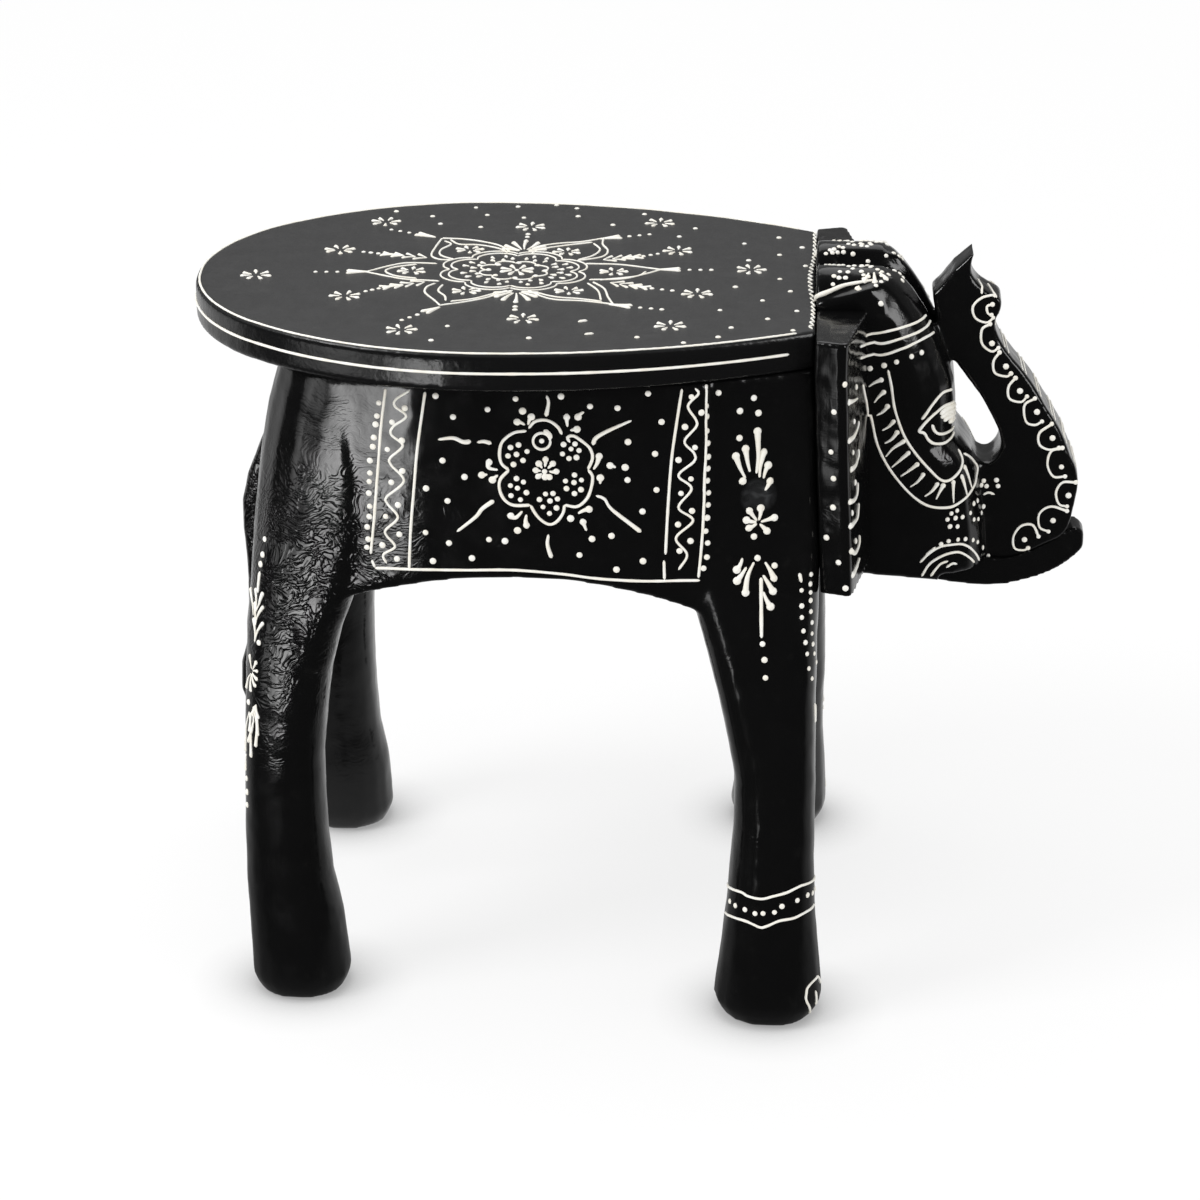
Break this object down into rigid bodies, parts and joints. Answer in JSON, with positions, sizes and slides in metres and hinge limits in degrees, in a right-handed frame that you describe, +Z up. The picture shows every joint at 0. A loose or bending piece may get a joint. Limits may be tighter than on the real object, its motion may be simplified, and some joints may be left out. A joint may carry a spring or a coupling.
{
  "type": "carved elephant stool",
  "caption": "Low wooden stool carved as a standing elephant: oval plank seat on its back, splayed legs, wedge ears, raised trunk, black lacquer with raised cream ornament.",
  "frame": {"origin": "on the floor, under the centre of the stool's bounding box", "axes": "+X along the body towards the head and trunk, +Y towards the stool's left side, +Z up"},
  "size_m": [0.3848, 0.2388, 0.3157],
  "materials": {
    "black_lacquer": "brushed black lacquer on carved wood, glossy",
    "seat_lacquer": "black lacquer on a planed board, satin",
    "cream_paint": "raised cream paint lines and dots",
    "bare_wood": "plain turned dowel"
  },
  "bodies": {
    "root": {"seat_board": "seat_lacquer", "body_core": "black_lacquer", "side_right": "black_lacquer", "side_left": "black_lacquer", "head_block": "black_lacquer", "trunk": "black_lacquer", "lower_jaw": "black_lacquer", "ear_right": "black_lacquer", "ear_left": "black_lacquer", "tail": "black_lacquer", "seat_dowels": "bare_wood", "side_dowels": "bare_wood", "neck_dowels": "bare_wood", "ear_dowels": "bare_wood", "trunk_dowels": "bare_wood", "jaw_pins": "bare_wood", "tail_pin": "bare_wood"}
  },
  "joints": []
}
